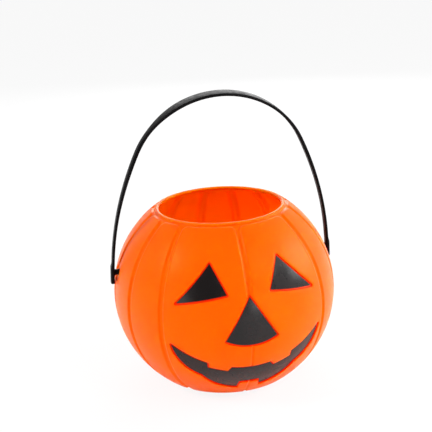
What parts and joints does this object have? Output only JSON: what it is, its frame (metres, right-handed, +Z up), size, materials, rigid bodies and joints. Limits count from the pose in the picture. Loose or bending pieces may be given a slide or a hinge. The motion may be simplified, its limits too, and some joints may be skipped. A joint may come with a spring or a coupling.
{
  "type": "pumpkin candy pail",
  "caption": "Hollow pumpkin-shaped plastic pail with lobes, a sunk and painted jack-o'-lantern face, an open mouth and a strap handle that swings on snap pegs.",
  "frame": {"origin": "middle of the base, on the surface that the pail stands on", "axes": "+Z up through the mouth, -Y out of the face, +X to the right of someone looking at the face"},
  "size_m": [0.1536, 0.1492, 0.1968],
  "materials": {
    "orange_plastic": "satin",
    "black_paint": "semi-gloss",
    "black_plastic": "satin"
  },
  "bodies": {
    "pail": {"pail_shell": "orange_plastic", "left_eye_paint": "black_paint", "right_eye_paint": "black_paint", "nose_paint": "black_paint", "mouth_paint": "black_paint"},
    "handle": {"handle": "black_plastic"}
  },
  "joints": [
    {"name": "handle_swing", "type": "hinge", "parent": "pail", "child": "handle", "pos_m": [0, 0, 0.0802], "axis": [1, 0, 0], "range_deg": [-108, 96]}
  ]
}
